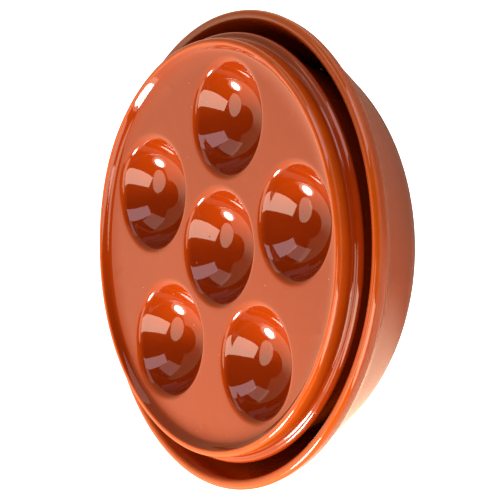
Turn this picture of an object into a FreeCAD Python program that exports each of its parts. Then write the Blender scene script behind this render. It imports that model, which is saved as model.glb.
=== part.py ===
import FreeCAD, Part
import os

import Sketcher

# Snail plate in its base dish
#
# Two pieces of glazed earthenware. The plate has a raised lip, a shoulder under the lip, six round wells
# and a skirt that it stands on. It lies in a wider round dish, where the foot of its skirt meets the
# dish's sloping wall, so it can rock a little: here one side of it stands higher.
#
# Millimetres, +Z up. The origin is the centre of the dish's foot. One outer well points to -Y.

SIZES = {
    # dish
    "bowl_height": 45.3,         # floor it stands on to the top of its rim
    "rim_gap": 6.15,             # plate's shoulder out to the inner edge of the dish's rim
    "band_height": 5.7,          # upright band below the rim
    "band_taper": 1.77,          # how far the band leans in at its lower edge
    "band_step": 1.0,            # step from the band in to the wall
    "wall_angle": 56.4,          # slope of the wall, degrees from level
    "bowl_wall": 4.3,            # thickness of the sloping wall
    "bowl_floor": 5.5,           # thickness of the floor
    "bowl_corner_outside": 38.0, # rounding from the wall to the foot
    "bowl_corner_inside": 32.0,  # rounding from the wall to the floor
    "foot_ring_width": 6.7,      # flat ring that the dish stands on
    "foot_recess_depth": 1.5,    # hollow inside that ring
    "rim_round_outside": 2.0,
    "rim_round_inside": 2.0,
    "band_round": 0.8,
    # plate
    "plate_height": 35.5,        # foot of the skirt to the top of the lip
    "lip_width": 2.5,            # flat width of the lip before its edges are rounded
    "lip_slope": 1.2,            # how far the lip's inner side leans
    "lip_height": 7.6,           # lip's outer side, down to the shoulder
    "lip_undercut": 0.4,         # how far the lip's outer side leans in above the shoulder
    "field_drop": 3.6,           # top of the lip down to the field between the wells
    "field_thickness": 5.0,
    "shoulder_overhang": 2.4,    # how far the shoulder stands out past the lip
    "shoulder_thickness": 3.4,
    "shoulder_inset": 4.0,       # shoulder's edge in to the skirt
    "skirt_taper": 15.6,         # degrees from upright
    "skirt_wall": 4.5,
    "lip_round_outside": 1.4,
    "lip_round_inside": 0.9,
    "field_round": 2.6,
    "neck_round": 0.7,
    "shoulder_round": 1.6,
    "skirt_round_outside": 1.5,
    "skirt_round_inside": 4.0,
    "foot_round": 1.8,
    # wells
    "well_radius": 22.5,         # radius of the ball that shapes each well
    "well_depth": 17.3,          # below the field
    "well_wall": 3.7,
    "well_gap": 6.62,            # centre well's mouth to an outer one's, before they are rounded
    "well_margin": 5.41,         # outer well's mouth to the foot of the lip
    "outer_wells": 5,
    "well_mouth_round": 3.5,
    # seat of the plate in the dish
    "seat_clearance": 0.3,
    "plate_tilt": 2.1,           # degrees
    "raised_side": 18.0,         # direction of the side that the tilt raises, degrees from +X
}

# Places worked out from the sizes: the dish's outline, the plate's outline, and the seat.
# The plate is as wide as its wells need, and the dish as the plate's shoulder and the gap round it need.
WORKED = {
    "mouth_radius": "sqrt(Sizes.well_radius ^ 2 - (Sizes.well_radius - Sizes.well_depth) ^ 2)",
    "well_ring_radius": "2 * Worked.mouth_radius + Sizes.well_gap",
    "field_radius": "Worked.well_ring_radius + Worked.mouth_radius + Sizes.well_margin",
    "lip_radius": "Worked.field_radius + Sizes.lip_slope + Sizes.lip_width",
    "shoulder_radius": "Worked.lip_radius + Sizes.shoulder_overhang",
    "inner_rim_radius": "Worked.shoulder_radius + Sizes.rim_gap",
    "wall_top_radius": "Worked.inner_rim_radius + Sizes.bowl_wall / sin(Sizes.wall_angle)"
                       " - Sizes.band_height / tan(Sizes.wall_angle)",
    "wall_top_height": "Sizes.bowl_height - Sizes.band_height",
    "wall_foot_radius": "Worked.wall_top_radius - Worked.wall_top_height / tan(Sizes.wall_angle)",
    "band_foot_radius": "Worked.wall_top_radius + Sizes.band_step",
    "rim_radius": "Worked.band_foot_radius + Sizes.band_taper",
    "foot_outer_radius": "Worked.wall_foot_radius"
                         " - Sizes.bowl_corner_outside * tan(Sizes.wall_angle / 2)",
    "recess_edge_radius": "Worked.foot_outer_radius - Sizes.foot_ring_width",
    "inner_foot_radius": "Worked.inner_rim_radius"
                         " - (Sizes.bowl_height - Sizes.bowl_floor) / tan(Sizes.wall_angle)",
    "field_height": "Sizes.plate_height - Sizes.field_drop",
    "underside_height": "Worked.field_height - Sizes.field_thickness",
    "shoulder_top": "Sizes.plate_height - Sizes.lip_height",
    "shoulder_bottom": "Worked.shoulder_top - Sizes.shoulder_thickness",
    "skirt_top_radius": "Worked.shoulder_radius - Sizes.shoulder_inset",
    "skirt_foot_radius": "Worked.skirt_top_radius - Worked.shoulder_bottom * tan(Sizes.skirt_taper)",
    "skirt_inner_foot": "Worked.skirt_foot_radius - Sizes.skirt_wall / cos(Sizes.skirt_taper)",
    "skirt_inner_top": "Worked.skirt_inner_foot + Worked.underside_height * tan(Sizes.skirt_taper)",
    "well_centre_height": "Worked.field_height + Sizes.well_radius - Sizes.well_depth",
    "dome_radius": "Sizes.well_radius + Sizes.well_wall",
    "dome_top_angle": "-asin((Sizes.well_radius - Sizes.well_depth + Sizes.field_thickness / 2)"
                      " / Worked.dome_radius)",
    # the rounded outer edge of the skirt's foot is a ring that lies against the dish's sloping wall
    "foot_ring_radius": "Worked.skirt_foot_radius + Sizes.foot_round * tan(Sizes.skirt_taper)"
                        " - Sizes.foot_round / cos(Sizes.skirt_taper)",
    "seat_radius": "Worked.foot_ring_radius"
                   " + (Sizes.foot_round + Sizes.seat_clearance) / sin(Sizes.wall_angle)",
    "seat_height": "Sizes.bowl_height"
                   " - (Worked.inner_rim_radius - Worked.seat_radius) * tan(Sizes.wall_angle)"
                   " - Sizes.foot_round",
    # square to the wall all round, so the plate can rock about this point of the dish's axis
    "rock_height": "Sizes.foot_round + Worked.foot_ring_radius / tan(Sizes.wall_angle)",
    "rock_shift": "Worked.rock_height * sin(Sizes.plate_tilt)",
}


SAME_PLACE = 1e-3  # edges closer than this to a wanted radius and height are the ones meant


def add_sheet(doc, name, cells):
    """Adds a sheet with one named cell for each entry."""
    sheet = doc.addObject("Spreadsheet::Sheet", name)
    for row, (alias, content) in enumerate(cells.items(), start=1):
        sheet.set("A%d" % row, alias)
        sheet.set("B%d" % row, content)
        sheet.setAlias("B%d" % row, alias)
    doc.recompute()
    return sheet


def origin_feature(body, role):
    """Gives the body's own plane or axis of that role."""
    return next(f for f in body.Origin.OriginFeatures if f.Role == role)


def value(obj, expression):
    """Works out an expression on the sheets as a number."""
    found = obj.evalExpression(expression)
    return float(getattr(found, "Value", found))


def place_corner(sketch, line, expression, kind, axis):
    """Ties the start of a line to its place: on an axis where the place is zero, else at a distance."""
    start = 1  # a sketch's name for the first end of a line
    origin = -1
    if expression == "0":
        sketch.addConstraint(Sketcher.Constraint("PointOnObject", line, start, axis))
        return
    distance = Sketcher.Constraint(kind, origin, start, line, start, value(sketch, expression))
    index = sketch.addConstraint(distance)
    sketch.setExpression("Constraints[%d]" % index, expression)


def turned_body(doc, name, corners):
    """Makes a body with one closed outline of straight lines, turned once round the Z axis."""
    body = doc.addObject("PartDesign::Body", name)
    sketch = body.newObject("Sketcher::SketchObject", name + "_outline")
    sketch.AttachmentSupport = (origin_feature(body, "XZ_Plane"), [""])
    sketch.MapMode = "FlatFace"
    doc.recompute()
    points = [FreeCAD.Vector(value(sketch, r), value(sketch, z), 0) for r, z in corners]
    for start, end in zip(points, points[1:] + points[:1]):
        sketch.addGeometry(Part.LineSegment(start, end), False)
    start, end = 1, 2  # a sketch's names for the two ends of a line
    upright_axis, level_axis = -2, -1
    for line in range(len(points)):
        following = (line + 1) % len(points)
        sketch.addConstraint(Sketcher.Constraint("Coincident", line, end, following, start))
    for line, (r, z) in enumerate(corners):
        place_corner(sketch, line, r, "DistanceX", upright_axis)
        place_corner(sketch, line, z, "DistanceY", level_axis)
    turned = body.newObject("PartDesign::Revolution", name + "_turned")
    turned.Profile = sketch
    turned.ReferenceAxis = (sketch, ["V_Axis"])
    turned.Angle = 360
    doc.recompute()
    return body


def ring_edges(shape, radius, height):
    """Names the circular edges of that radius at that height, wherever their centres are."""
    names = []
    for number, edge in enumerate(shape.Edges, start=1):
        if edge.Degenerated or not isinstance(edge.Curve, Part.Circle):
            continue
        radius_error = abs(edge.Curve.Radius - radius)
        height_error = abs(edge.Curve.Center.z - height)
        if max(radius_error, height_error) < SAME_PLACE:
            names.append("Edge%d" % number)
    return names


def round_rings(doc, body, name, rings, size):
    """Rounds the circular edges at each (radius, height) of the list with one radius from the sheet."""
    base = body.Tip
    names = []
    for radius, height in rings:
        found = ring_edges(base.Shape, value(body, radius), value(body, height))
        if not found:
            raise RuntimeError("%s: no edge of radius %s at height %s" % (name, radius, height))
        names += found
    fillet = body.newObject("PartDesign::Fillet", name)
    fillet.Base = (base, names)
    fillet.setExpression("Radius", size)
    doc.recompute()
    return fillet


def add_ball(doc, body, kind, name, radius, along_x, along_y, height, top_angle=None):
    """Adds or takes away a ball, or the part of one below a latitude, at a place in the body's frame."""
    ball = body.newObject(kind, name)
    ball.AttachmentSupport = (origin_feature(body, "XY_Plane"), [""])
    ball.MapMode = "FlatFace"
    ball.setExpression("Radius", radius)
    ball.setExpression(".AttachmentOffset.Base.x", along_x)
    ball.setExpression(".AttachmentOffset.Base.y", along_y)
    ball.setExpression(".AttachmentOffset.Base.z", height)
    if top_angle:
        ball.setExpression("Angle2", top_angle)
    doc.recompute()
    return ball


def repeat_round(doc, body, feature, count):
    """Repeats a feature evenly round the body's Z axis."""
    pattern = body.newObject("PartDesign::PolarPattern", feature.Name + "_ring")
    pattern.Originals = [feature]
    pattern.Axis = (origin_feature(body, "Z_Axis"), [""])
    pattern.Angle = 360
    pattern.setExpression("Occurrences", count)
    body.Tip = pattern
    doc.recompute()
    return pattern


def build_bowl(doc):
    """The base dish: a shallow foot ring, a rounded corner, a sloping wall and an upright rim band."""
    band_foot = ("Worked.band_foot_radius", "Worked.wall_top_height")
    wall_top = ("Worked.wall_top_radius", "Worked.wall_top_height")
    rim_outside = ("Worked.rim_radius", "Sizes.bowl_height")
    rim_inside = ("Worked.inner_rim_radius", "Sizes.bowl_height")
    corner_outside = ("Worked.wall_foot_radius", "0")
    corner_inside = ("Worked.inner_foot_radius", "Sizes.bowl_floor")
    body = turned_body(doc, "base_bowl", [
        ("0", "Sizes.foot_recess_depth"),
        ("Worked.recess_edge_radius - Sizes.foot_recess_depth", "Sizes.foot_recess_depth"),
        ("Worked.recess_edge_radius", "0"),
        corner_outside,
        wall_top,
        band_foot,
        rim_outside,
        rim_inside,
        corner_inside,
        ("0", "Sizes.bowl_floor"),
    ])
    round_rings(doc, body, "outer_corner", [corner_outside], "Sizes.bowl_corner_outside")
    round_rings(doc, body, "inner_corner", [corner_inside], "Sizes.bowl_corner_inside")
    round_rings(doc, body, "rim_outer_edge", [rim_outside], "Sizes.rim_round_outside")
    round_rings(doc, body, "rim_inner_edge", [rim_inside], "Sizes.rim_round_inside")
    round_rings(doc, body, "band_edge", [band_foot], "Sizes.band_round")
    return body


def build_plate(doc):
    """The snail plate: lip, field, shoulder and skirt turned as one, then its wells."""
    foot_outside = ("Worked.skirt_foot_radius", "0")
    skirt_top = ("Worked.skirt_top_radius", "Worked.shoulder_bottom")
    shoulder_under = ("Worked.shoulder_radius", "Worked.shoulder_bottom")
    shoulder_over = ("Worked.shoulder_radius", "Worked.shoulder_top")
    neck = ("Worked.lip_radius - Sizes.lip_undercut", "Worked.shoulder_top")
    lip_outside = ("Worked.lip_radius", "Sizes.plate_height")
    lip_inside = ("Worked.lip_radius - Sizes.lip_width", "Sizes.plate_height")
    field_edge = ("Worked.field_radius", "Worked.field_height")
    skirt_inner_top = ("Worked.skirt_inner_top", "Worked.underside_height")
    foot_inside = ("Worked.skirt_inner_foot", "0")
    body = turned_body(doc, "snail_plate", [
        foot_outside,
        skirt_top,
        shoulder_under,
        shoulder_over,
        neck,
        lip_outside,
        lip_inside,
        field_edge,
        ("0", "Worked.field_height"),
        ("0", "Worked.underside_height"),
        skirt_inner_top,
        foot_inside,
    ])
    round_rings(doc, body, "shoulder_edges", [shoulder_under, shoulder_over], "Sizes.shoulder_round")
    round_rings(doc, body, "under_shoulder", [skirt_top], "Sizes.skirt_round_outside")
    round_rings(doc, body, "neck_hollow", [neck], "Sizes.neck_round")
    round_rings(doc, body, "lip_outer_edge", [lip_outside], "Sizes.lip_round_outside")
    round_rings(doc, body, "lip_inner_edge", [lip_inside], "Sizes.lip_round_inside")
    round_rings(doc, body, "field_hollow", [field_edge], "Sizes.field_round")
    round_rings(doc, body, "skirt_hollow", [skirt_inner_top], "Sizes.skirt_round_inside")
    round_rings(doc, body, "skirt_foot", [foot_outside, foot_inside], "Sizes.foot_round")

    ring_place = "-Worked.well_ring_radius"
    centre_height = "Worked.well_centre_height"
    add_ball(doc, body, "PartDesign::AdditiveSphere", "centre_dome", "Worked.dome_radius",
             "0", "0", centre_height, "Worked.dome_top_angle")
    dome = add_ball(doc, body, "PartDesign::AdditiveSphere", "outer_dome", "Worked.dome_radius",
                    "0", ring_place, centre_height, "Worked.dome_top_angle")
    repeat_round(doc, body, dome, "Sizes.outer_wells")
    add_ball(doc, body, "PartDesign::SubtractiveSphere", "centre_well", "Sizes.well_radius",
             "0", "0", centre_height)
    well = add_ball(doc, body, "PartDesign::SubtractiveSphere", "outer_well", "Sizes.well_radius",
                    "0", ring_place, centre_height)
    repeat_round(doc, body, well, "Sizes.outer_wells")
    mouth = ("Worked.mouth_radius", "Worked.field_height")
    round_rings(doc, body, "well_mouths", [mouth], "Sizes.well_mouth_round")
    return body


def seat_plate(doc, plate):
    """Lays the plate on the dish's wall, rocked about the point where the wall's normals meet."""
    some_turn = 1  # degrees, since a rotation keeps its axis only while it turns by some angle
    rotation = FreeCAD.Rotation(FreeCAD.Vector(0, -1, 0), some_turn)
    plate.Placement = FreeCAD.Placement(FreeCAD.Vector(), rotation)
    plate.setExpression(".Placement.Rotation.Axis.x", "sin(Sizes.raised_side)")
    plate.setExpression(".Placement.Rotation.Axis.y", "-cos(Sizes.raised_side)")
    plate.setExpression(".Placement.Rotation.Angle", "Sizes.plate_tilt")
    plate.setExpression(".Placement.Base.x", "Worked.rock_shift * cos(Sizes.raised_side)")
    plate.setExpression(".Placement.Base.y", "Worked.rock_shift * sin(Sizes.raised_side)")
    plate.setExpression(".Placement.Base.z",
                        "Worked.seat_height + Worked.rock_height * (1 - cos(Sizes.plate_tilt))")
    doc.recompute()


def check_document(doc, bodies):
    """Stops where any object failed, or where a piece isn't one valid solid."""
    for obj in doc.Objects:
        if "Invalid" in obj.State or "Error" in obj.State:
            raise RuntimeError("%s failed: %s" % (obj.Name, obj.State))
    for body in bodies:
        shape = body.Shape
        if shape.isNull() or not shape.isValid() or len(shape.Solids) != 1:
            raise RuntimeError("%s isn't one valid solid" % body.Label)


def main():
    os.makedirs("parts", exist_ok=True)
    doc = FreeCAD.newDocument("snail_plate_in_dish")
    add_sheet(doc, "Sizes", {alias: str(size) for alias, size in SIZES.items()})
    add_sheet(doc, "Worked", {alias: "=" + formula for alias, formula in WORKED.items()})
    bowl = build_bowl(doc)
    plate = build_plate(doc)
    seat_plate(doc, plate)
    doc.recompute()
    bodies = [bowl, plate]
    check_document(doc, bodies)
    for body in bodies:
        box = body.Shape.BoundBox
        print("%s: %.1f cubic cm, X %.2f to %.2f, Z %.2f to %.2f" % (
            body.Label, body.Shape.Volume / 1000, box.XMin, box.XMax, box.ZMin, box.ZMax))
        body.Shape.exportStep("parts/%s.step" % body.Label)


main()
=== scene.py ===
# %% [markdown]
# # A snail plate lying in its base dish
#
# The object is a piece of oven tableware in two parts, both of red clay under a clear orange glaze.
# A round plate with six ball-shaped wells rests in a wider, sloping dish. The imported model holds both
# as solids. Here each solid is given the softly rounded skin that a fired glaze has, and the colour,
# gloss and small faults of that glaze. The scene is in metres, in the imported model's own frame.

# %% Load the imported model
import math

import bpy
import numpy as np
from mathutils import Matrix


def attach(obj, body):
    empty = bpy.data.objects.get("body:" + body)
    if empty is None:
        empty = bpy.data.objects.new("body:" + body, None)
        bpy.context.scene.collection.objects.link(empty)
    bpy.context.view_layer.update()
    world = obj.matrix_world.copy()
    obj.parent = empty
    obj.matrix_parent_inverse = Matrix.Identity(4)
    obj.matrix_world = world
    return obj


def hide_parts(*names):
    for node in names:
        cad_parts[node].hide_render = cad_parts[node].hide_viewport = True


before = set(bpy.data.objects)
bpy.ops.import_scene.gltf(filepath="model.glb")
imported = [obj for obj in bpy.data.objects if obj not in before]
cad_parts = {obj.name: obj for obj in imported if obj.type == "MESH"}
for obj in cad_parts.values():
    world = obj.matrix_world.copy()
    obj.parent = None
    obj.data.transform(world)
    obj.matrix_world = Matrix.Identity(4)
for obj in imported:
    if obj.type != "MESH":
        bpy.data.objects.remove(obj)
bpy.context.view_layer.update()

# %% [markdown]
# ## Sizes
#
# The sizes are those of the solids, so the skins lie where the solids do. The wells come first: the plate
# is as wide as its wells need, and the dish as the plate needs. They are written in millimetres, as a
# potter's drawing has them, and `MM` turns them into metres at the very end of each shape.

# %% Sizes of the two parts
MM = 0.001
ROUND_STEPS = 360  # steps round a turned shape

# the wells: each is a ball cut into the field
WELL_BALL = 22.5
WELL_DEPTH = 17.3
WELL_WALL = 3.7
WELL_GAP = 6.62
WELL_MARGIN = 5.41
WELL_COUNT = 5
FIRST_WELL = math.radians(-90)
MOUTH = math.sqrt(WELL_BALL ** 2 - (WELL_BALL - WELL_DEPTH) ** 2)
WELL_RING = 2 * MOUTH + WELL_GAP

# the plate: heights count from the foot of its skirt, before it is laid in the dish
PLATE_HEIGHT = 35.5
FIELD_DROP = 3.6
FIELD_THICKNESS = 5.0
LIP_HEIGHT = 7.6
LIP_SLOPE = 1.2
LIP_WIDTH = 2.5
SHOULDER_OVERHANG = 2.4
SHOULDER_THICKNESS = 3.4
SKIRT_INSET = 4.0
SKIRT_WALL = 4.5
SKIRT_LEAN = math.radians(15.6)
FOOT_ROUND = 1.8

FIELD_HEIGHT = PLATE_HEIGHT - FIELD_DROP
UNDERSIDE = FIELD_HEIGHT - FIELD_THICKNESS
LIP_FOOT = PLATE_HEIGHT - LIP_HEIGHT
SHOULDER_FOOT = LIP_FOOT - SHOULDER_THICKNESS
FIELD_RADIUS = WELL_RING + MOUTH + WELL_MARGIN
LIP_INSIDE = FIELD_RADIUS + LIP_SLOPE
LIP_RADIUS = LIP_INSIDE + LIP_WIDTH
SHOULDER_RADIUS = LIP_RADIUS + SHOULDER_OVERHANG
SKIRT_TOP = SHOULDER_RADIUS - SKIRT_INSET
SKIRT_FOOT = SKIRT_TOP - SHOULDER_FOOT * math.tan(SKIRT_LEAN)
SKIRT_INNER_FOOT = SKIRT_FOOT - SKIRT_WALL / math.cos(SKIRT_LEAN)
SKIRT_INNER_TOP = SKIRT_INNER_FOOT + UNDERSIDE * math.tan(SKIRT_LEAN)

# the dish: heights count from the ring that it stands on
DISH_HEIGHT = 45.3
DISH_BAND = 5.7
DISH_WALL = 4.3
DISH_FLOOR = 5.5
DISH_RECESS = 1.5
DISH_CORNER = 38.0
FOOT_WIDTH = 6.7
RIM_GAP = 6.15
BAND_STEP = 1.0
BAND_TAPER = 1.77
WALL_SLOPE = math.radians(56.4)

DISH_INNER_RIM = SHOULDER_RADIUS + RIM_GAP
DISH_WALL_TOP = DISH_INNER_RIM + DISH_WALL / math.sin(WALL_SLOPE) - DISH_BAND / math.tan(WALL_SLOPE)
DISH_WALL_FOOT = DISH_WALL_TOP - (DISH_HEIGHT - DISH_BAND) / math.tan(WALL_SLOPE)
DISH_BAND_FOOT = DISH_WALL_TOP + BAND_STEP
DISH_OUTER_RIM = DISH_BAND_FOOT + BAND_TAPER
DISH_RECESS_EDGE = DISH_WALL_FOOT - DISH_CORNER * math.tan(WALL_SLOPE / 2) - FOOT_WIDTH

# the plate's place in the dish: its foot lies against the wall, and it rocks about a point of the axis
TILT = math.radians(2.1)
RAISED_SIDE = math.radians(18.0)
SEAT_CLEARANCE = 0.3
FOOT_RING = SKIRT_FOOT + FOOT_ROUND * math.tan(SKIRT_LEAN) - FOOT_ROUND / math.cos(SKIRT_LEAN)
SEAT_RADIUS = FOOT_RING + (FOOT_ROUND + SEAT_CLEARANCE) / math.sin(WALL_SLOPE)
SEAT_HEIGHT = DISH_HEIGHT - (DISH_INNER_RIM - SEAT_RADIUS) * math.tan(WALL_SLOPE) - FOOT_ROUND
ROCK_HEIGHT = FOOT_ROUND + FOOT_RING / math.tan(WALL_SLOPE)
print("lip", round(2 * LIP_RADIUS, 1), "mm across, dish", round(2 * DISH_OUTER_RIM, 1), "mm across")

# %% [markdown]
# ## Outlines with soft edges
#
# Glaze is glass that ran while it was hot, so no edge under it is sharp, and no rounding starts
# suddenly. An outline is therefore made in three steps: its corners get arcs, its points are averaged
# along its length, and then points are picked closely where it bends and widely where it runs straight.
# A bevel modifier could round the edges too, but its arcs start suddenly, which a mirror-like glaze shows.

# %% Rounded and softened outlines
FINE = 0.05    # length of one fine step along an outline, mm
SMOOTHED = 21  # fine steps over which the sharpness of a bend is averaged


def rounded(corners, steps=40):
    """Gives the points of an outline whose corners (radius, height, rounding) are replaced by arcs.

    An arc of radius R in a corner of half angle h starts R / tan(h) before the corner, and its
    centre lies R / sin(h) from the corner on the line that halves it.
    """
    corners = np.array(corners, float)
    points = [corners[:1, :2]]
    for before, here, after in zip(corners[:-2], corners[1:-1], corners[2:]):
        back = before[:2] - here[:2]
        on = after[:2] - here[:2]
        back /= np.linalg.norm(back)
        on /= np.linalg.norm(on)
        half = math.acos(float(back @ on)) / 2
        middle = (back + on) / np.linalg.norm(back + on)
        centre = here[:2] + middle * here[2] / math.sin(half)
        first = here[:2] + back * here[2] / math.tan(half) - centre
        last = here[:2] + on * here[2] / math.tan(half) - centre
        share = np.linspace(0, 1, steps)[:, None]
        spoke = first * (1 - share) + last * share
        spoke *= here[2] / np.linalg.norm(spoke, axis=1, keepdims=True)
        points.append(centre + spoke)
    points.append(corners[-1:, :2])
    return np.concatenate(points)


def softened(points, reach=0.35):
    """Averages an outline along its length with a bell-shaped weight of that reach, ends kept."""
    run = np.concatenate([[0], np.cumsum(np.linalg.norm(np.diff(points, axis=0), axis=1))])
    place = np.linspace(0, run[-1], int(run[-1] / FINE) + 1)
    fine = np.stack([np.interp(place, run, points[:, axis]) for axis in (0, 1)], -1)
    count = int(4 * reach / FINE)
    weight = np.exp(-0.5 * (np.arange(-count, count + 1) * FINE / reach) ** 2)
    weight /= weight.sum()
    head = 2 * fine[0] - fine[count:0:-1]
    tail = 2 * fine[-1] - fine[-2:-count - 2:-1]
    padded = np.concatenate([head, fine, tail])
    return np.stack([np.convolve(padded[:, axis], weight, "valid") for axis in (0, 1)], -1)


def picked(fine, spacing, bend=7.0):
    """Picks points of a fine outline: one for each `spacing` mm of length and each `bend` degrees of turn.

    Gives the points and, for each, how sharply the outline turns there, in radians for each mm.
    """
    steps = np.diff(fine, axis=0)
    length = np.linalg.norm(steps, axis=1)
    heading = np.unwrap(np.arctan2(steps[:, 1], steps[:, 0]))
    turn = np.abs(np.diff(heading, prepend=heading[0]))
    cost = np.concatenate([[0], np.cumsum(length / spacing + turn / math.radians(bend))])
    place = np.linspace(0, cost[-1], int(math.ceil(cost[-1])) + 1)
    points = np.stack([np.interp(place, cost, fine[:, axis]) for axis in (0, 1)], -1)
    sharpness = np.diff(heading, append=heading[-1]) / length
    sharpness = np.convolve(sharpness, np.ones(SMOOTHED) / SMOOTHED, "same")
    return points, np.interp(place, cost[1:], sharpness)


# %% [markdown]
# ## From an outline to a mesh
#
# A turned shape is a grid: one parameter runs along the outline, the other round the axis. Both parts
# are built as a few such grids, which are then joined where their points meet. The joining also closes
# the seam and the poles, where a whole ring of points falls together. Each point carries two more
# numbers for the glaze: how sharply the outline bends there, which paints light on convex edges and
# shade in hollows, and how deep the point lies below the plate's field.

# %% Grids, joining and the mesh
def turned(outline, steps=ROUND_STEPS):
    """Turns an outline round the Z axis: a point (r, z) goes to (r cos a, r sin a, z) for each angle a."""
    angle = FIRST_WELL - math.pi / WELL_COUNT + np.arange(steps + 1) * 2 * math.pi / steps
    radius, height = outline[:, :1], outline[:, 1:]
    return np.stack([radius * np.cos(angle), radius * np.sin(angle), height + 0 * angle], -1)


def grid_faces(rows, columns, flip=False):
    """Gives two triangles for each square of a grid, seen anticlockwise from the side they face."""
    corner = np.arange((rows - 1) * columns).reshape(rows - 1, columns)[:, :-1].ravel()
    square = np.stack([corner, corner + 1, corner + columns + 1, corner + columns], -1)
    if flip:
        square = square[:, ::-1]
    return np.concatenate([square[:, [0, 1, 2]], square[:, [0, 2, 3]]])


def joined(grids, close=1e-4):
    """Joins (points, values, flip) grids into one set of points, faces and values.

    Points that are the same after rounding to `close` mm become one, and a triangle that loses a
    corner by that is left out.
    """
    points, values, faces, count = [], [], [], 0
    for grid, value, flip in grids:
        rows, columns = grid.shape[:2]
        faces.append(grid_faces(rows, columns, flip) + count)
        points.append(grid.reshape(-1, 3))
        values.append(np.broadcast_to(value, (rows, columns)).reshape(-1))
        count += rows * columns
    points, values, faces = np.concatenate(points), np.concatenate(values), np.concatenate(faces)
    _, first, where = np.unique(np.round(points / close).astype(np.int64), axis=0,
                                return_index=True, return_inverse=True)
    faces = where.reshape(-1)[faces]
    whole = (faces[:, 0] != faces[:, 1]) & (faces[:, 1] != faces[:, 2]) & (faces[:, 2] != faces[:, 0])
    return points[first], faces[whole], values[first]


def new_object(name, data):
    """Adds an object that holds that mesh, lamp or camera to the scene."""
    thing = bpy.data.objects.new(name, data)
    bpy.context.scene.collection.objects.link(thing)
    return thing


def make_piece(name, points, faces, light_and_shade_bend, depth):
    """Puts points in mm and triangles into a smooth mesh, with two values at each point for the glaze."""
    mesh = bpy.data.meshes.new(name)
    mesh.vertices.add(len(points))
    mesh.vertices.foreach_set("co", (points * MM).astype(np.float32).ravel())
    mesh.loops.add(faces.size)
    mesh.loops.foreach_set("vertex_index", faces.astype(np.int32).ravel())
    mesh.polygons.add(len(faces))
    mesh.polygons.foreach_set("loop_start", np.arange(0, faces.size, 3, dtype=np.int32))
    mesh.polygons.foreach_set("use_smooth", np.ones(len(faces), bool))
    mesh.update(calc_edges=True)
    for label, value in (("light_and_shade_bend", light_and_shade_bend), ("depth", depth)):
        layer = mesh.attributes.new(label, "FLOAT", "POINT")
        layer.data.foreach_set("value", value.astype(np.float32))
    edges = np.sort(np.concatenate([faces[:, pair] for pair in ([0, 1], [1, 2], [2, 0])]), axis=1)
    faces_of_edge = np.unique(edges, axis=0, return_counts=True)[1]
    print(name, "points", len(points), "triangles", len(faces),
          "edges without two faces", int((faces_of_edge != 2).sum()))
    return new_object(name, mesh)


# %% [markdown]
# ## The slight unevenness of fired clay
#
# Clay shrinks and leans a little in the kiln, so nothing on the real object is quite round or level.
# Both parts get the same slow waves, worked out from a point's place, so that the plate still fits its
# seat. Without them the reflections would be too straight to look like pottery.

# %% Slow waves in the clay
WAVE = 0.12         # height of the waves, mm
WAVE_RADIUS = 90.0  # distance from the axis where the waves that go outward have that height
WAVE_START = 20.0   # height up to which the upward waves grow, so that the foot stays level


def uneven(points):
    """Moves each point up or down and out by a sum of slow waves of its place, 90 to 160 mm long.

    Each wave is the sine or cosine of a distance over its length / 2 pi, plus a start of its own.
    """
    x, y, z = points.T
    lift = np.sin(x / 17 + 1.3) * np.cos(y / 21 - 0.6) + 0.6 * np.sin((x - y) / 14 + 2.1)
    swell = np.sin(x / 19 - y / 25 + 0.7) + 0.5 * np.cos(x / 23 + y / 15)
    outward = np.stack([x, y], -1) / WAVE_RADIUS
    moved = points.copy()
    moved[:, 2] += WAVE * lift * np.clip(z / WAVE_START, 0, 1)
    moved[:, :2] += WAVE * swell[:, None] * outward
    return moved


# %% [markdown]
# ## The base dish
#
# The dish was turned or pressed as one round form: a shallow foot ring, a rounded corner, a sloping wall
# and an upright band that ends in a rounded rim. One outline, carried once round the axis, gives it all.
# The step under the band is softened by glaze into a short flatter slope, which shows as a pale line.

# %% Make the dish
SOFT_STEP = 3.6  # how far down the wall the glaze softens the step

# how far each corner is rounded, from the middle of the underside outward and back in
RECESS_ROUND = 0.8
FOOT_EDGE_ROUND = 0.5
STEP_ROUND = 8.0
BAND_ROUND = 1.5
RIM_ROUND = 2.0
INNER_CORNER = 32.0

dish_outline = rounded([
    (0, DISH_RECESS, 0),
    (DISH_RECESS_EDGE - DISH_RECESS, DISH_RECESS, RECESS_ROUND),
    (DISH_RECESS_EDGE, 0, FOOT_EDGE_ROUND),
    (DISH_WALL_FOOT, 0, DISH_CORNER),
    (DISH_WALL_TOP - SOFT_STEP / math.tan(WALL_SLOPE), DISH_HEIGHT - DISH_BAND - SOFT_STEP, STEP_ROUND),
    (DISH_BAND_FOOT, DISH_HEIGHT - DISH_BAND, BAND_ROUND),
    (DISH_OUTER_RIM, DISH_HEIGHT, RIM_ROUND),
    (DISH_INNER_RIM, DISH_HEIGHT, RIM_ROUND),
    (DISH_INNER_RIM - (DISH_HEIGHT - DISH_FLOOR) / math.tan(WALL_SLOPE), DISH_FLOOR, INNER_CORNER),
    (0, DISH_FLOOR, 0),
])
dish_points, dish_turn = picked(softened(dish_outline), spacing=3.0)
dish_points[[0, -1], 0] = 0
print("dish outline points", len(dish_points))

dish_skin, dish_faces, dish_bend = joined([(turned(dish_points), dish_turn[:, None], False)])
base_bowl_glazed = make_piece("base_bowl_glazed", uneven(dish_skin), dish_faces, dish_bend,
                              np.zeros(len(dish_skin)))

# %% [markdown]
# ## The plate's rim, shoulder and skirt
#
# The plate's outside is turned too: from the middle of its underside out to the skirt, down to the foot,
# up past the shoulder and over the lip to the edge of the flat field. The shells of the wells stand out
# below the underside. They are made by moving each point of the underside down to the shell's ball
# wherever that ball reaches lower, with a soft blend between the two.

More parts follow.
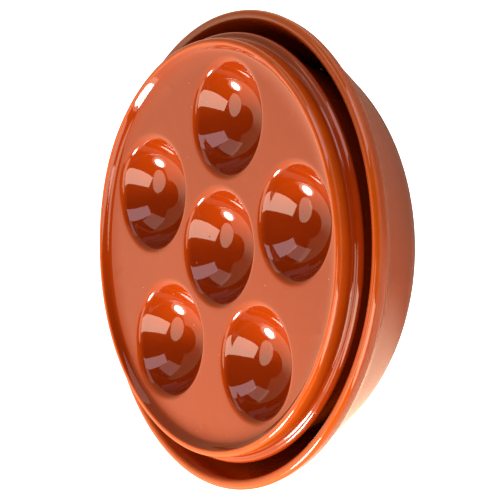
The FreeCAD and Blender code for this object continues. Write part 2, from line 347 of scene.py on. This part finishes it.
# %% Turn the plate's outside
MOUTH_ROUND = 3.5   # rounding of a well's mouth
EDGE_MARGIN = 0.45  # field between the outer mouths and the border of the turned outside
NECK_LEAN = 0.4     # how much further in the lip's outer side starts than it ends
FIELD_EASE = 1.0    # how far glaze carries the lip's inner side into the field

# how far each corner is rounded, from the underside outward and back in to the field
UNDERSIDE_ROUND = 4.0
SKIRT_ROUND = 1.5
SHOULDER_FOOT_ROUND = 1.3
SHOULDER_TOP_ROUND = 2.0
NECK_ROUND = 1.2
LIP_ROUND = 1.8
LIP_INNER_ROUND = 0.9
FIELD_ROUND = 2.2

MOUTH_END = math.sqrt((WELL_BALL + MOUTH_ROUND) ** 2 - (WELL_BALL - WELL_DEPTH + MOUTH_ROUND) ** 2)
FIELD_EDGE = WELL_RING + MOUTH_END + EDGE_MARGIN
plate_outline = rounded([
    (0, UNDERSIDE, 0),
    (SKIRT_INNER_TOP, UNDERSIDE, UNDERSIDE_ROUND),
    (SKIRT_INNER_FOOT, 0, FOOT_ROUND),
    (SKIRT_FOOT, 0, FOOT_ROUND),
    (SKIRT_TOP, SHOULDER_FOOT, SKIRT_ROUND),
    (SHOULDER_RADIUS, SHOULDER_FOOT, SHOULDER_FOOT_ROUND),
    (SHOULDER_RADIUS, LIP_FOOT, SHOULDER_TOP_ROUND),
    (LIP_RADIUS - NECK_LEAN, LIP_FOOT, NECK_ROUND),
    (LIP_RADIUS, PLATE_HEIGHT, LIP_ROUND),
    (LIP_INSIDE, PLATE_HEIGHT, LIP_INNER_ROUND),
    (FIELD_RADIUS - FIELD_EASE, FIELD_HEIGHT, FIELD_ROUND),
    (FIELD_EDGE, FIELD_HEIGHT, 0),
])
plate_points, plate_turn = picked(softened(plate_outline), spacing=3.5, bend=10.0)
plate_points[0] = 0, UNDERSIDE
plate_points[-1] = FIELD_EDGE, FIELD_HEIGHT
outside = turned(plate_points)

well_angle = FIRST_WELL + np.arange(WELL_COUNT) * 2 * math.pi / WELL_COUNT
well_centres = np.concatenate([[[0, 0]], WELL_RING * np.stack([np.cos(well_angle), np.sin(well_angle)], -1)])
ball_height = FIELD_HEIGHT + WELL_BALL - WELL_DEPTH


def lower_of(a, b, blend=1.5):
    """Gives the lower of two heights, with a rounded change from one to the other.

    With s the share of a, from 0 where b is `blend` lower to 1 where a is: b (1 - s) + a s - blend s (1 - s).
    """
    share = np.clip(0.5 + 0.5 * (b - a) / blend, 0, 1)
    return b * (1 - share) + a * share - blend * share * (1 - share)


under = np.arange(len(plate_points)) <= plate_points[:, 1].argmin()
for centre in well_centres:
    off_centre = np.linalg.norm(outside[under][..., :2] - centre, axis=-1)
    shell = ball_height - np.sqrt(np.clip((WELL_BALL + WELL_WALL) ** 2 - off_centre ** 2, 0, None))
    outside[under, :, 2] = lower_of(outside[under, :, 2], shell)
print("plate outline points", len(plate_points), "middle of the centre shell", outside[0, 0])

# %% [markdown]
# ## The field and its wells
#
# The top of the plate is a flat field with six wells. A grid over the whole plate would be too coarse for
# their steep walls, so the field is cut into six cells, one round each well: a five-sided one in the
# middle and five round it. In a cell, each ray from the well's centre runs up the ball, over the rounded
# mouth and across the field to the cell's border. Neighbouring cells share the points of their border.

# %% Make the cells
SIDE_STEPS, EDGE_STEPS = 16, 24  # steps along a border between outer cells, and along a middle cell's side
ARC_STEPS = ROUND_STEPS // WELL_COUNT
FLAT_STEPS = 4      # steps from a well's mouth to its border
FLAT_RUN = 3.0      # field drawn past the mouth, so that the softening has something to average
MOUTH_MARGIN = 0.3  # field that a well's wall keeps round its mouth
half_turn = math.pi / WELL_COUNT
pentagon_corner = WELL_RING / 2 / math.cos(half_turn)


def polar(radius, angle):
    """Gives the point of that radius and angle: (r cos a, r sin a)."""
    return np.stack([radius * np.cos(angle), radius * np.sin(angle)], -1)


def straight(start, end, steps):
    """Gives evenly spaced points from start towards end, without the end."""
    share = np.arange(steps)[:, None] / steps
    return start * (1 - share) + end * share


def outer_border(angle):
    """Gives the border of the cell round the well at that angle, anticlockwise from its outer arc."""
    left, right = angle + half_turn, angle - half_turn
    arc = polar(FIELD_EDGE, right + np.arange(ARC_STEPS) * 2 * half_turn / ARC_STEPS)
    return np.concatenate([
        arc,
        straight(polar(FIELD_EDGE, left), polar(pentagon_corner, left), SIDE_STEPS),
        straight(polar(pentagon_corner, left), polar(pentagon_corner, right), EDGE_STEPS),
        straight(polar(pentagon_corner, right), polar(FIELD_EDGE, right), SIDE_STEPS)])


def centre_border():
    """Gives the five-sided border of the middle cell, anticlockwise."""
    return np.concatenate([
        straight(polar(pentagon_corner, a - half_turn), polar(pentagon_corner, a + half_turn), EDGE_STEPS)
        for a in well_angle])


def well_outline():
    """Gives the wall of a well as distance from its centre and height: a ball, then a rounded mouth.

    The two arcs meet where both centres lie on one line, at that line's angle from straight down.
    """
    centre = np.array([0, ball_height])
    round_centre = np.array([MOUTH_END, FIELD_HEIGHT - MOUTH_ROUND])
    reach = math.atan2(MOUTH_END, ball_height - round_centre[1])
    ball = np.linspace(0, reach, 200)
    ball = centre + WELL_BALL * np.stack([np.sin(ball), -np.cos(ball)], -1)
    mouth = np.linspace(-reach, 0, 60)
    mouth = round_centre + MOUTH_ROUND * np.stack([np.sin(mouth), np.cos(mouth)], -1)
    return np.concatenate([ball, mouth[1:], [[MOUTH_END + FLAT_RUN, FIELD_HEIGHT]]])


def cell(centre, border, wall, turn):
    """Carries a well's wall along each ray to the border, and goes on over the flat field.

    On a ray, a point lies at the wall's distance from the centre, and past the wall at an even share of
    the way from there to the border.
    """
    border = np.concatenate([border, border[:1]])
    ray = border - centre
    far = np.linalg.norm(ray, axis=1)
    ray = ray / far[:, None]
    share = np.linspace(0, 1, FLAT_STEPS + 1)[1:, None]
    distance = np.concatenate([np.broadcast_to(wall[:, :1], (len(wall), len(far))),
                               wall[-1, 0] * (1 - share) + far * share])
    height = np.concatenate([wall[:, 1], wall[-1, 1] * (1 - share[:, 0]) + FIELD_HEIGHT * share[:, 0]])
    flat = centre + distance[..., None] * ray
    grid = np.concatenate([flat, np.broadcast_to(height[:, None, None], flat.shape[:2] + (1,))], -1)
    return grid, np.concatenate([turn, np.zeros(len(share))])[:, None]


wall_points, wall_turn = picked(softened(well_outline()), spacing=1.6, bend=6.0)
near = wall_points[:, 0] < MOUTH_END + MOUTH_MARGIN
wall_points, wall_turn = wall_points[near], wall_turn[near]
wall_points[0, 0] = 0
print("well outline points", len(wall_points), wall_points[0], wall_points[-1])

# %% [markdown]
# ## The whole plate in its dish
#
# The turned outside and the six cells have the same points on their borders, so joining them closes the
# skin. On the real plate the field doesn't end in a crease at the lip: it sweeps up for the last few
# millimetres, and a wide bright reflection lies there. That sweep is added to the joined points. Then the
# plate is laid in the dish, where it leans a little, as its foot rests on a sloping wall.

# %% Join the plate
SWEEP_WIDTH = 7.2  # how far inside the field's edge the sweep starts
SWEEP_RISE = 1.7   # how high it would get at the top of the lip's inner side
SWEEP_ABOVE = 0.5  # how far above the underside a point must lie to be moved
SWEEP_FADE = 2.0   # height over which that limit fades
SWEEP_LIMIT = 0.5  # how far past the lip's inner edge a point may lie to be moved

grids = [(outside, plate_turn[:, None], False)]
borders = [centre_border()] + [outer_border(angle) for angle in well_angle]
for centre, border in zip(well_centres, borders):
    grid, turn = cell(centre, border, wall_points, -wall_turn)
    grids.append((grid, turn, True))
plate_skin, plate_faces, plate_bend = joined(grids)
from_axis = np.hypot(plate_skin[:, 0], plate_skin[:, 1])


def between(value, low, high):
    """Gives 0 where the value is `low`, 1 where it is `high`, and an even change from one to the other."""
    return np.clip((value - low) / (high - low), 0, 1)


sweep = SWEEP_RISE * between(from_axis, FIELD_RADIUS - SWEEP_WIDTH, LIP_INSIDE) ** 2
sweep *= between(plate_skin[:, 2], PLATE_HEIGHT, FIELD_HEIGHT)
sweep *= np.clip((plate_skin[:, 2] - UNDERSIDE - SWEEP_ABOVE) / SWEEP_FADE, 0, 1)
sweep *= from_axis < LIP_INSIDE + SWEEP_LIMIT
plate_skin[:, 2] += sweep
print("the field is lifted by up to", round(float(sweep.max()), 2), "mm")

# %% [markdown]
# ## Painted light and shade by the bend, and deep wells
#
# The bend of the outline, which was kept for each point, paints light and shade into the glaze: convex
# edges are painted a lighter orange, as lit edges look, and sharp hollows darker, as shaded ones look.
# On the plate only the convex edges above the shoulder are painted lighter, and the lip's outer side is
# painted lighter as a whole. A point's depth below the field, which colours the wells, comes from its
# height before the plate is laid in the dish.

# %% Lay the plate in the dish
FLANK_WIDTH = 1.5     # how far in from the lip's outer side the painted light starts
FLANK_PAINTED_LIGHT = 0.6


def laid_in_dish(points):
    """Rocks the plate by its tilt about the point of the dish's axis at the rock height, and lifts it.

    With u the distance towards the raised side: u' = u cos t + (rock - z) sin t, and
    z' = u sin t + z cos t + seat + rock (1 - cos t).
    """
    raised = np.array([math.cos(RAISED_SIDE), math.sin(RAISED_SIDE)])
    along, height = points[:, :2] @ raised, points[:, 2]
    cos, sin = math.cos(TILT), math.sin(TILT)
    moved = along * cos + (ROCK_HEIGHT - height) * sin
    lifted = along * sin + height * cos + SEAT_HEIGHT + ROCK_HEIGHT * (1 - cos)
    return np.column_stack([points[:, :2] + (moved - along)[:, None] * raised, lifted])


plate_depth = between(plate_skin[:, 2], FIELD_HEIGHT, FIELD_HEIGHT - WELL_DEPTH)
above_shoulder = between(plate_skin[:, 2], LIP_FOOT, FIELD_HEIGHT)
# painted light: the lip's whole outer side is painted lighter, and convex edges only above the shoulder
flank = np.clip(from_axis - LIP_RADIUS + FLANK_WIDTH, 0, 1)
plate_bend = np.where(plate_bend > 0, plate_bend * above_shoulder, plate_bend)
plate_bend += FLANK_PAINTED_LIGHT * flank * above_shoulder
snail_plate_glazed = make_piece("snail_plate_glazed", uneven(laid_in_dish(plate_skin)), plate_faces,
                                plate_bend, plate_depth)

# %% [markdown]
# ## Shader maths as arithmetic
#
# A glaze is described by sums and products of masks. Each takes a node in Blender, and a long row of
# nodes is hard to read. The small class below wraps one output of a node, so that `1 - mask * 0.3` adds
# the Math nodes by itself. Colours and vectors go through Mix and Vector Math nodes.

# %% Signals and trees
class Signal:
    """One output of a node. Arithmetic on it adds Math nodes to the same tree."""

    def __init__(self, tree, socket):
        self.tree, self.socket = tree, socket

    def __add__(self, other):
        return self.tree.math("ADD", self, other)

    def __sub__(self, other):
        return self.tree.math("SUBTRACT", self, other)

    def __rsub__(self, other):
        return self.tree.math("SUBTRACT", other, self)

    def __mul__(self, other):
        return self.tree.math("MULTIPLY", self, other)

    def __truediv__(self, other):
        return self.tree.math("DIVIDE", self, other)

    def __rtruediv__(self, other):
        return self.tree.math("DIVIDE", other, self)

    def __neg__(self):
        return self.tree.math("MULTIPLY", self, -1)

    __radd__, __rmul__ = __add__, __mul__

    def ramp(self, low, high):
        """Rises smoothly from 0 where the value is `low` to 1 where it is `high`."""
        return self.tree.add("ShaderNodeMapRange", {"interpolation_type": "SMOOTHSTEP"},
                             {"Value": self, "From Min": low, "From Max": high})


class Tree:
    """A node tree that is built up by one method."""

    def __init__(self, tree):
        self.tree = tree
        tree.nodes.clear()

    def add(self, kind, settings=None, values=None, output=0):
        """Adds a node of that type, sets its settings, then fills or links its sockets by name or place."""
        node = self.tree.nodes.new(kind)
        for name, setting in (settings or {}).items():
            setattr(node, name, setting)
        for name, value in (values or {}).items():
            socket = node.inputs[name]
            if isinstance(value, Signal):
                self.tree.links.new(value.socket, socket)
            else:
                socket.default_value = value
        return Signal(self, node.outputs[output]) if node.outputs else None

    def math(self, operation, *values):
        """Adds a Math node on one or two values."""
        return self.add("ShaderNodeMath", {"operation": operation}, dict(enumerate(values)))

    def mix_colour(self, share, first, second):
        """Mixes two colours, from the first at share 0 to the second at share 1.

        A Mix node has its share in socket 0, and its colours in sockets 6 and 7 and in output 2.
        """
        return self.add("ShaderNodeMix", {"data_type": "RGBA"}, {0: share, 6: first, 7: second}, output=2)

    def noise(self, place, size, detail=2.0):
        """Gives soft noise around 0.5 whose lumps are about `size` metres wide."""
        return self.add("ShaderNodeTexNoise", {"noise_dimensions": "3D"},
                        {"Vector": place, "Scale": 1 / size, "Detail": detail})

    def marks(self, place, spacing, edge, cloud, density):
        """Gives small round marks: one for each cell about `spacing` metres wide, where a cloud is dense.

        A mark is 1 up to the first distance of `edge` from the cell's point and 0 past the second, in
        cell widths. The cloud keeps marks where its noise is above the two values of `density`.
        """
        cells = self.add("ShaderNodeTexVoronoi", {"feature": "F1"}, {"Vector": place, "Scale": 1 / spacing})
        kept = self.noise(place, cloud, detail=0.0).ramp(*density)
        return (1 - cells.ramp(*edge)) * kept


def new_material(name):
    """Makes an empty material and gives it with its tree."""
    material = bpy.data.materials.new(name)
    material.use_nodes = True
    return material, Tree(material.node_tree)


# %% [markdown]
# ## The glaze
#
# The clay is red-brown and the glaze over it is a clear orange glass. Over the flat field it is red-orange,
# and down in the wells a little lighter, the more so the deeper. Sharp hollows are darker: painted shade.
# Convex edges, the rims and the lip's outer side are a lighter orange: painted light, as lit edges look.
# The colour drifts a little over each part, and a few dark specks and pale grains show in it. The surface
# is a near mirror with a very faint ripple and tiny pits at the specks, so its roughness is low and
# changes little.

# %% Glaze materials
# dark colour for the random drift and mottle, and painted shade in sharp hollows
DARK_MOTTLE_AND_CREASE_SHADE = (0.10, 0.008, 0.0004, 1)
# the colour deep in the wells, a little lighter than the field's
WELL_DEPTH_COLOUR = (0.215, 0.0235, 0.0008, 1)
BODY = (0.160, 0.0175, 0.0008, 1)
DISH_BODY = (0.19, 0.0205, 0.0008, 1)
# painted light: the lighter orange that convex edges, the rims and the lip's outer side are painted with
EDGE_PAINTED_LIGHT = (0.28, 0.043, 0.003, 1)
RIM_PAINTED_LIGHT = (0.31, 0.062, 0.004, 1)
SPECK = (0.05, 0.010, 0.003, 1)
GRAIN = (0.45, 0.25, 0.17, 1)

# widths in metres of the clouds in the colour and the gloss, and of the surface's two ripples
DRIFT, MOTTLE, SMEAR = 0.045, 0.006, 0.02
SWELL, RIPPLE = 0.009, 0.0022

# heights of the two ripples and depth of a pit, in metres
SWELL_HEIGHT, RIPPLE_HEIGHT, PIT_DEPTH = 0.00005, 0.000004, 0.00004


def glaze(name, body, edge_light):
    """Makes the glossy glaze of one part, from its usual colour and the lighter colour painted on its edges.
    """
    material, tree = new_material(name)
    place = tree.add("ShaderNodeTexCoord", output=3)
    bend = tree.add("ShaderNodeAttribute", {"attribute_name": "light_and_shade_bend"}, output=2)
    depth = tree.add("ShaderNodeAttribute", {"attribute_name": "depth"}, output=2)

    drift = tree.noise(place, DRIFT).ramp(0.3, 0.7)
    mottle = tree.noise(place, MOTTLE, detail=4.0).ramp(0.25, 0.75)
    colour = tree.mix_colour(depth, body, WELL_DEPTH_COLOUR)
    colour = tree.mix_colour(drift * 0.15 + mottle * 0.10, colour, DARK_MOTTLE_AND_CREASE_SHADE)
    # painted light: convex edges and the lip's outer side are painted a lighter orange
    colour = tree.mix_colour(bend.ramp(0.08, 0.9) * (0.75 + 0.25 * mottle), colour, edge_light)
    # painted shade: sharp hollows, where the outline bends inward, are painted darker
    colour = tree.mix_colour((-bend).ramp(0.15, 1.2) * 0.5, colour, DARK_MOTTLE_AND_CREASE_SHADE)
    speck = tree.marks(place, spacing=0.007, edge=(0.02, 0.05), cloud=0.011, density=(0.56, 0.60))
    colour = tree.mix_colour(speck * 0.6, colour, SPECK)
    grain = tree.marks(place, spacing=0.004, edge=(0.04, 0.08), cloud=0.006, density=(0.60, 0.64))
    colour = tree.mix_colour(grain * 0.5, colour, GRAIN)

    smear = tree.noise(place, SMEAR, detail=3.0).ramp(0.4, 0.8)
    roughness = 0.035 + 0.03 * smear + 0.15 * speck
    swell = tree.noise(place, SWELL, detail=1.0) * SWELL_HEIGHT
    surface = swell + tree.noise(place, RIPPLE, detail=1.0) * RIPPLE_HEIGHT - speck * PIT_DEPTH
    bump = tree.add("ShaderNodeBump", values={"Strength": 1.0, "Distance": 1.0, "Height": surface})
    shader = tree.add("ShaderNodeBsdfPrincipled", values={
        "Base Color": colour, "Roughness": roughness, "Normal": bump, "IOR": 1.5})
    tree.add("ShaderNodeOutputMaterial", values={"Surface": shader})
    return material


plate_material = glaze("orange_glaze_plate", BODY, EDGE_PAINTED_LIGHT)
dish_material = glaze("orange_glaze_dish", DISH_BODY, RIM_PAINTED_LIGHT)
for node, piece, material in (("snail_plate", snail_plate_glazed, plate_material),
                              ("base_bowl", base_bowl_glazed, dish_material)):
    piece.data.materials.append(material)
    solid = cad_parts[node]
    solid.data.materials.clear()
    solid.data.materials.append(material)
print("glazes:", plate_material.name, dish_material.name)

# %% [markdown]
# ## Riding on the frame
#
# Nothing on this object moves, so both skins ride on its one body. Each stands for the solid of its part.

# %% Tie the pieces to the frame
for piece, node, slot in ((base_bowl_glazed, "base_bowl", "dish_glaze"),
                          (snail_plate_glazed, "snail_plate", "plate_glaze")):
    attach(piece, "root")
    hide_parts(node)
    print(piece.name, "stands for", node)

# %% [markdown]
# ## The camera
#
# The camera stands about a metre away with a long lens, and is turned a quarter on its side, as in the
# photograph. Its place was found from the outlines of the lip, the shoulder, the rims and the wells.

# %% Place the camera
IMAGE_SIDE = 500
FOCAL = 2834.0                       # in pixels of that image
SENSOR = 36.0                        # in mm
AIM = np.array([0.0, 0.0, (PLATE_HEIGHT + SEAT_HEIGHT) * MM])  # middle of the plate's lip
AZIMUTH = math.radians(-11.38)
ELEVATION = math.radians(34.61)
QUARTER_ERROR = math.radians(1.44)   # how far the turn is from a whole quarter
SIDEWAYS, UPWARDS, DISTANCE = 0.0001, 0.0152, 1.0970

# directions before the camera is turned on its side: to its right, level ahead, and up
right = np.array([math.cos(AZIMUTH), math.sin(AZIMUTH), 0])
level = np.array([-math.sin(AZIMUTH), math.cos(AZIMUTH), 0])
sky = np.array([0.0, 0.0, 1.0])
ahead = level * math.cos(ELEVATION) - sky * math.sin(ELEVATION)
above = level * math.sin(ELEVATION) + sky * math.cos(ELEVATION)
camera_place = AIM - (SIDEWAYS * right + UPWARDS * above + DISTANCE * ahead)
picture_right = math.sin(QUARTER_ERROR) * right - math.cos(QUARTER_ERROR) * above
picture_up = math.cos(QUARTER_ERROR) * right + math.sin(QUARTER_ERROR) * above


def stand(thing, x_axis, y_axis, z_axis, place):
    """Puts an object at a place, with its own axes along the three given directions."""
    pose = np.eye(4)
    pose[:3] = np.column_stack([x_axis, y_axis, z_axis, place])
    thing.matrix_world = Matrix(pose.tolist())


camera_data = bpy.data.cameras.new("camera")
camera_data.sensor_fit = "HORIZONTAL"
camera_data.sensor_width = SENSOR
camera_data.lens = FOCAL / IMAGE_SIDE * SENSOR
camera_data.clip_end = 50
camera = new_object("camera", camera_data)
stand(camera, picture_right, picture_up, -ahead, camera_place)
bpy.context.scene.camera = camera
print("camera at", camera_place.round(3), "lens", round(camera_data.lens, 1))

# %% [markdown]
# ## The floor and the shade card
#
# The object stands on a white table that runs out into a white background, so the floor is a wide disc
# that gives off its own even light. Mirrored in the glaze, such a floor would be brighter than what the
# rims of the real object show, so reflections pass it by and find the duller table of the surroundings. A
# matt, warm card lies on the floor round the dish's foot, and the camera doesn't see it. It is painted
# shade: it stands in for the dish's shadow on the floor, where reflections and bounce light would find
# it, and its warm colour is painted light bounced from the orange dish. Lit by the lamps, it gives the
# lower side of the dish a soft warm light instead of the floor's glare.

# %% Floor and shade card
FLOOR_RADIUS = 6.0
FLOOR_GLOW = 2.2
# the shade card: painted shade, a sheet that stands in for the dish's shadow on the floor; its warm colour is
# painted light bounced from the dish
SHADE_CARD_RADIUS = 0.13
SHADE_CARD_HEIGHT = 0.0003
FLOOR_COLOUR = (0.02, 0.02, 0.02, 1)
SHADE_CARD_COLOUR = (0.60, 0.48, 0.38, 1)


def disc(name, radius, height, material, rings=12, steps=96):
    """Makes a flat round sheet of rings with evenly growing radii, round a point in the middle."""
    ring = radius * np.linspace(0, 1, rings + 1)[1:, None]
    angle = np.linspace(0, 2 * math.pi, steps, endpoint=False)
    points = np.stack([ring * np.cos(angle), ring * np.sin(angle), height + 0 * ring + 0 * angle], -1)
    points = np.concatenate([points.reshape(-1, 3), [[0, 0, height]]])
    index = np.arange(rings * steps).reshape(rings, steps)
    squares = np.stack([index[:-1], index[1:], np.roll(index[1:], -1, 1), np.roll(index[:-1], -1, 1)], -1)
    middle = np.stack([index[0], np.roll(index[0], -1), np.full(steps, rings * steps)], -1)
    mesh = bpy.data.meshes.new(name)
    mesh.from_pydata(points.tolist(), [], squares.reshape(-1, 4).tolist() + middle.tolist())
    mesh.materials.append(material)
    sheet = new_object(name, mesh)
    return sheet


def plain(name, colour, glow=0.0):
    """Makes a matt material of one colour, which may also give off an even white light of its own."""
    material, tree = new_material(name)
    shader = tree.add("ShaderNodeBsdfPrincipled", values={
        "Base Color": colour, "Roughness": 0.9, "Specular IOR Level": 0.0,
        "Emission Color": (1, 1, 1, 1), "Emission Strength": glow})
    tree.add("ShaderNodeOutputMaterial", values={"Surface": shader})
    return material


floor = disc("floor", FLOOR_RADIUS, 0.0, plain("white_table", FLOOR_COLOUR, FLOOR_GLOW))
# painted shade: a sheet that the camera doesn't see, standing in for the dish's shadow on the floor
shade_card = disc("shade_card", SHADE_CARD_RADIUS, SHADE_CARD_HEIGHT, plain("painted_shade_card", SHADE_CARD_COLOUR))
floor.visible_glossy = False
shade_card.visible_camera = False
print("floor radius", FLOOR_RADIUS, "card radius", SHADE_CARD_RADIUS)

# %% [markdown]
# ## Lights
#
# The glaze mirrors whatever stands round the object, so the studio matters as much as the material. Each
# well is a small mirror, and all of them show the same things: a small strong lamp to the left, a tall
# window nearer the camera, a dimmer rosy one on the right, a long warm panel overhead and a pale one far
# to the right. Each lamp's place was worked out from where the wells of the real object show it. The
# small lamp is split in three: what the glaze mirrors, a soft warm glow round it, and most of its light.

# %% Lights
def soft_box(name, azimuth, elevation, distance, width, height, radiance, colour,
             across=0.0, up=0.0, shape="RECTANGLE", roll=0.0):
    """Adds a flat light in a plane that faces the middle of the plate's lip.

    The plane's direction is an azimuth, anticlockwise from the camera's right before its quarter turn,
    and an elevation, both in degrees like the light's roll in the plane. In it the light is moved across
    and up. Its power is 4 times its area times the radiance wanted.
    """
    azimuth, elevation, roll = math.radians(azimuth), math.radians(elevation), math.radians(roll)
    ground = right * math.cos(azimuth) + level * math.sin(azimuth)
    toward = ground * math.cos(elevation) + sky * math.sin(elevation)
    side = -right * math.sin(azimuth) + level * math.cos(azimuth)
    rise = np.cross(toward, side)
    light = bpy.data.lights.new(name, "AREA")
    light.shape = shape
    light.size, light.size_y = width, height
    light.energy = 4 * width * height * radiance
    light.color = colour
    lamp = new_object(name, light)
    stand(lamp, side * math.cos(roll) + rise * math.sin(roll), rise * math.cos(roll) - side * math.sin(roll),
          toward, AIM + toward * distance + side * across + rise * up)
    lamp.visible_camera = False
    print(name, "gives", round(light.energy, 2), "W")
    return lamp


KEY_PLACE = {"azimuth": 165, "elevation": 29, "shape": "ELLIPSE"}
KEY_WHITE = (1.0, 0.96, 0.90)
soft_box("key", distance=0.50, up=0.015, width=0.13, height=0.16, radiance=28, colour=KEY_WHITE,
         **KEY_PLACE)
soft_box("key_glow", distance=0.505, width=0.22, height=0.22, radiance=2.0, colour=(1.0, 0.80, 0.60),
         **KEY_PLACE)
key_push = soft_box("key_push", distance=0.51, width=0.13, height=0.13, radiance=75, colour=KEY_WHITE,
                    **KEY_PLACE)
key_push.visible_glossy = False  # it lights the clay, and leaves its mirrored spots soft
soft_box("window_left", azimuth=235, elevation=0, distance=0.48, across=-0.03, up=0.28,
         width=0.32, height=0.58, radiance=7.0, colour=(1.0, 0.76, 0.58))
soft_box("window_right", azimuth=310, elevation=0, distance=0.33, across=0.085, up=0.155,
         width=0.17, height=0.33, radiance=2.8, colour=(1.0, 0.78, 0.82))
soft_box("overhead", azimuth=225, elevation=50, distance=0.50, across=-0.09, up=0.14,
         width=0.48, height=0.26, radiance=2.7, colour=(1.0, 0.80, 0.58), shape="ELLIPSE", roll=22)
soft_box("side", azimuth=356, elevation=33, distance=0.60,
         width=0.36, height=0.28, radiance=1.2, colour=(1.0, 0.84, 0.70))

# %% [markdown]
# ## Surroundings
#
# What the lamps leave free is the room: dark on the camera's side, with a pale wall behind the object that
# grows dimmer to the right and ends before the ceiling, and a dull table below the horizon. It is painted
# on the world's sphere as a function of the direction that is looked in.

# %% Surroundings
DARK_ROOM = (0.02, 0.02, 0.02, 1)
PALE_WALL = (2.3, 1.62, 1.05, 1)
DIM_WALL = (0.75, 0.45, 0.25, 1)
DULL_TABLE = (1.0, 0.75, 0.55, 1)

# each pair says from where to where a change goes, as parts of a direction of length 1
WALL_SIDES = (0.10, 0.22)
WALL_TOP = (0.895, 0.905)
WALL_DIMMING = (-0.2, 0.5)
HORIZON = (0.02, 0.06)
STRAIGHT_UP = 1.001  # a little over 1, so that no direction divides by 0

world = bpy.data.worlds.new("studio")
bpy.context.scene.world = world
world.use_nodes = True
room = Tree(world.node_tree)
look = room.add("ShaderNodeTexCoord", output=0)


def along(direction):
    """Gives how far the look goes along a direction: their dot product."""
    return room.add("ShaderNodeVectorMath", {"operation": "DOT_PRODUCT"},
                    {0: look, 1: tuple(float(v) for v in direction)}, output=1)


away, aside, climb = along(level), along(right), along(sky)
flat_share = room.math("SQRT", STRAIGHT_UP - climb * climb)
wall = (away / flat_share).ramp(*WALL_SIDES) * (1 - climb.ramp(*WALL_TOP))
below = 1 - climb.ramp(*HORIZON)
surroundings = room.mix_colour((aside / flat_share).ramp(*WALL_DIMMING), PALE_WALL, DIM_WALL)
surroundings = room.mix_colour(wall, DARK_ROOM, surroundings)
surroundings = room.mix_colour(below, surroundings, DULL_TABLE)
background = room.add("ShaderNodeBackground", values={"Color": surroundings, "Strength": 1.0})
room.add("ShaderNodeOutputWorld", values={"Surface": background})
print("surroundings made of", len(world.node_tree.nodes), "nodes")

# %% [markdown]
# ## Finish
#
# The colours are shown as they are, without a film curve, because a white background and a saturated
# orange both suffer from one.

# %% Finish
bpy.context.scene.view_settings.view_transform = "Standard"
bpy.context.view_layer.update()
